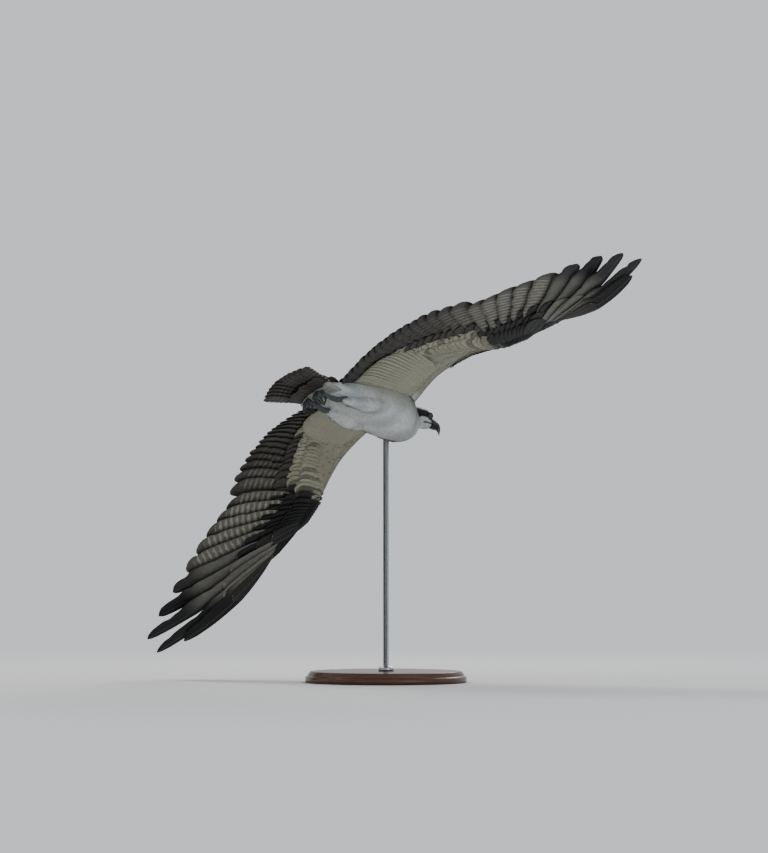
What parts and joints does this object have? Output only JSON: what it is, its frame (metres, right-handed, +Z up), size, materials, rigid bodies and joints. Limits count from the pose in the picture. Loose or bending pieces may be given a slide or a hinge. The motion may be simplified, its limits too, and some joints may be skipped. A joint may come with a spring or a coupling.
{
  "type": "osprey in flight on a display stand",
  "caption": "Life-size still osprey banking in flight with spread wings and fanned tail, held over a flat round wooden base by one steel rod.",
  "frame": {"origin": "centre of the underside of the stand's base", "axes": "+Z up; the bird heads 53 degrees from +X towards +Y, nose 9 degrees down, banked 35 degrees to its left; the picture's view looks along +Y"},
  "size_m": [1.0324, 0.6339, 0.8972],
  "materials": {
    "white_feather": "soft matte feather",
    "dark_feather": "barred matte feather with a slight sheen",
    "eye": "wet gloss",
    "horn": "polished horn",
    "leg_scale": "fine dry scales",
    "rod_steel": "brushed along its length",
    "base_wood": "satin varnish"
  },
  "bodies": {
    "root": {"torso": "white_feather", "neck": "white_feather", "head": "white_feather", "eye_left": "eye", "eye_right": "eye", "bill_upper": "horn", "bill_lower": "horn", "wing_left": "dark_feather", "wing_right": "dark_feather", "tail": "dark_feather", "thigh_left": "white_feather", "thigh_right": "white_feather", "foot_left": "leg_scale", "foot_right": "leg_scale", "stand_rod": "rod_steel", "stand_base": "base_wood"}
  },
  "joints": []
}
